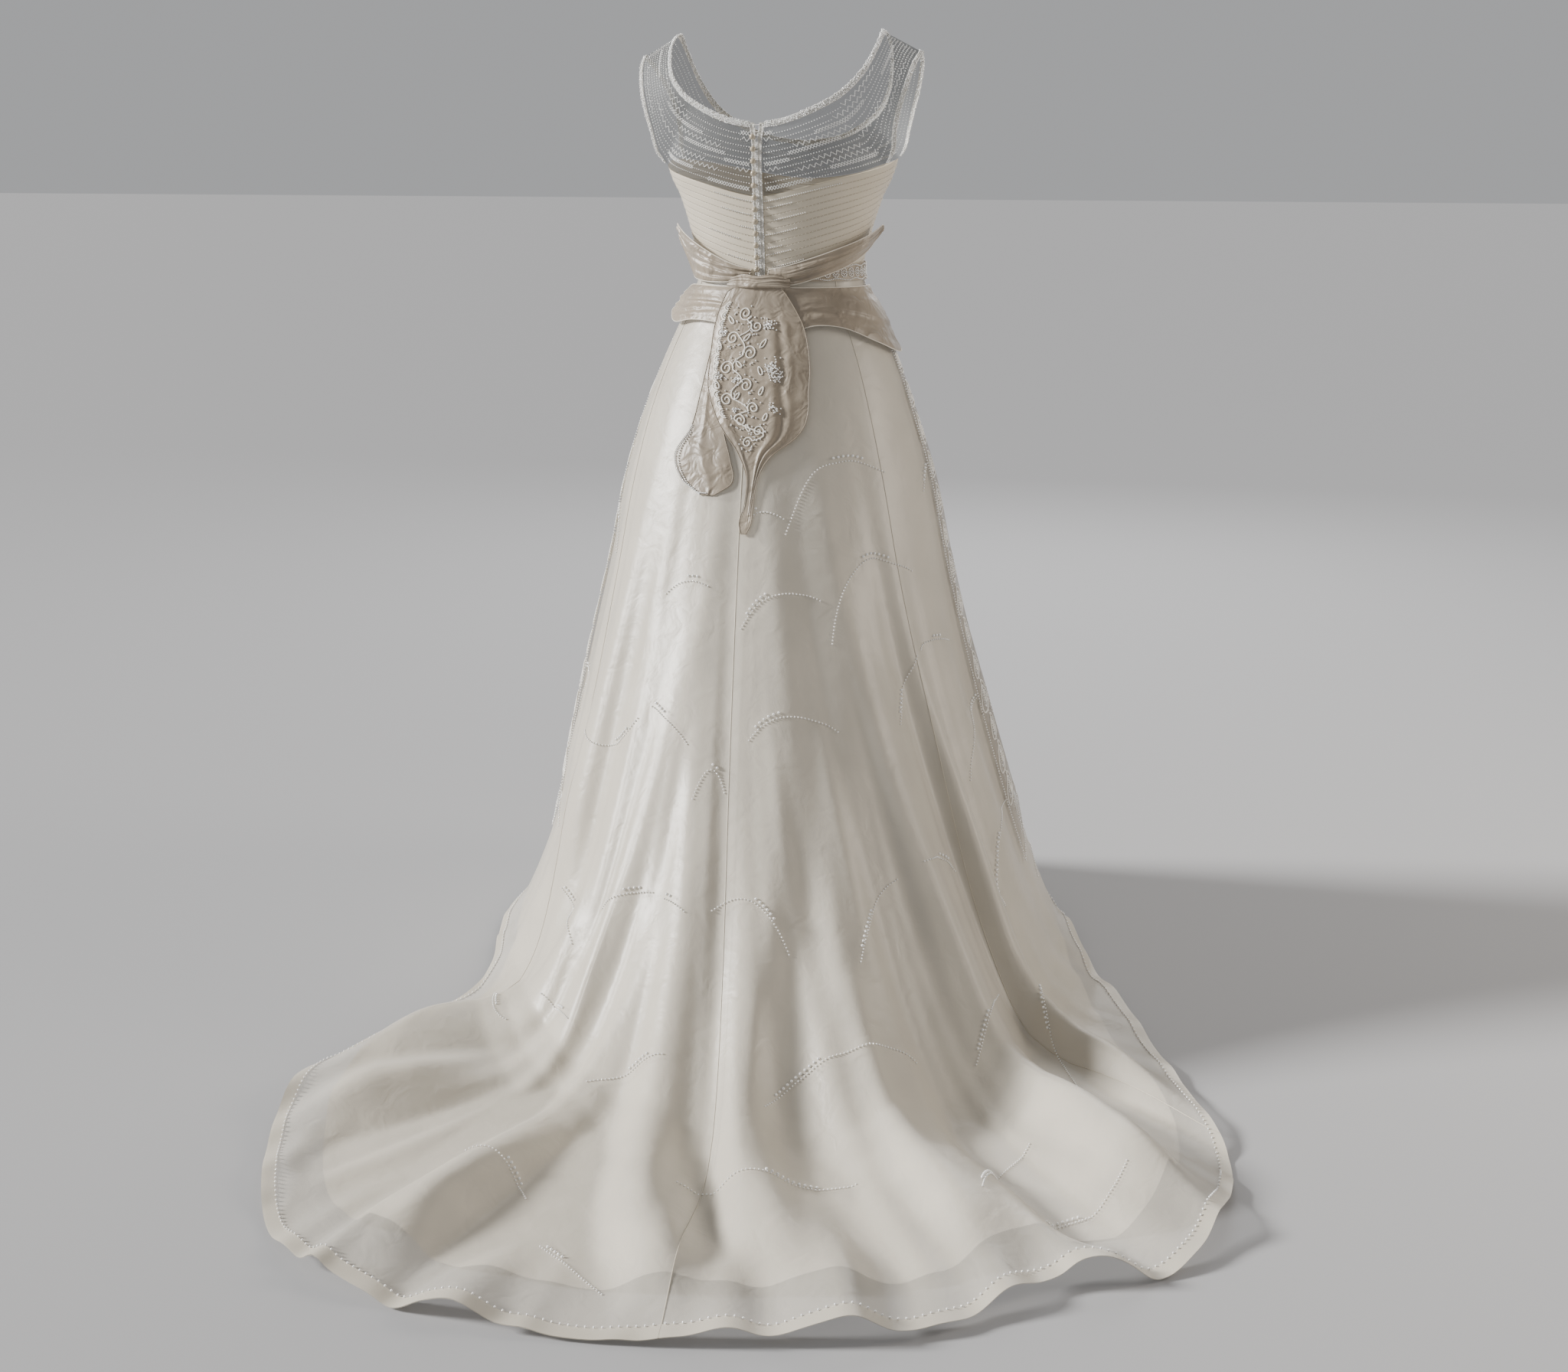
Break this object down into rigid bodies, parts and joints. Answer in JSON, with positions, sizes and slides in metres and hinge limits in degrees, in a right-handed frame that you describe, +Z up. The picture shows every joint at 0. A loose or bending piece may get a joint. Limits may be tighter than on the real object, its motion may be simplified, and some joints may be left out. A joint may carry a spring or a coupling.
{
  "type": "wedding dress",
  "caption": "Sleeveless wedding dress with a sheer beaded yoke, a buttoned back, a sash tied at the back and a flared skirt with a long train.",
  "frame": {"origin": "the point midway between the two shoulder seams, where the dress is held up", "axes": "+Z up, +Y towards the back of the dress and its train, +X towards the wearer's left"},
  "size_m": [1.3003, 1.6769, 1.4172],
  "materials": {
    "cream_bodice": "matt cream cloth with fine tucks",
    "sheer_net": "see-through net",
    "beaded_binding": "satin strip covered in beads",
    "pearl": "pearl",
    "overskirt_organza": "sheer organza over satin",
    "underskirt_satin": "satin",
    "beaded_lace": "beaded net",
    "sash_organza": "crisp taupe organza"
  },
  "bodies": {
    "root": {"bodice_front": "cream_bodice", "bodice_back_left": "cream_bodice", "bodice_back_right": "cream_bodice", "yoke_front": "sheer_net", "yoke_back_left": "sheer_net", "yoke_back_right": "sheer_net", "neck_binding_front": "beaded_binding", "neck_binding_back_left": "beaded_binding", "neck_binding_back_right": "beaded_binding", "armhole_binding_front_left": "beaded_binding", "armhole_binding_front_right": "beaded_binding", "armhole_binding_back_left": "beaded_binding", "armhole_binding_back_right": "beaded_binding", "placket_left": "beaded_binding", "placket_right": "beaded_binding", "button_01": "pearl", "button_02": "pearl", "button_03": "pearl", "button_04": "pearl", "button_05": "pearl", "button_06": "pearl", "button_07": "pearl", "button_08": "pearl", "button_09": "pearl", "button_10": "pearl", "button_11": "pearl", "button_12": "pearl", "overskirt_back_left": "overskirt_organza", "overskirt_back_right": "overskirt_organza", "overskirt_side_left": "overskirt_organza", "overskirt_side_right": "overskirt_organza", "overskirt_front": "overskirt_organza", "underskirt_back_left": "underskirt_satin", "underskirt_back_right": "underskirt_satin", "underskirt_side_left": "underskirt_satin", "underskirt_side_right": "underskirt_satin", "underskirt_front": "underskirt_satin", "apron_front": "beaded_lace", "waistband": "beaded_lace", "sash_wing_left": "sash_organza", "sash_wing_right": "sash_organza", "sash_knot": "sash_organza", "peplum_left": "sash_organza", "peplum_right": "sash_organza", "sash_tail_long": "sash_organza", "sash_tail_short": "sash_organza"}
  },
  "joints": []
}
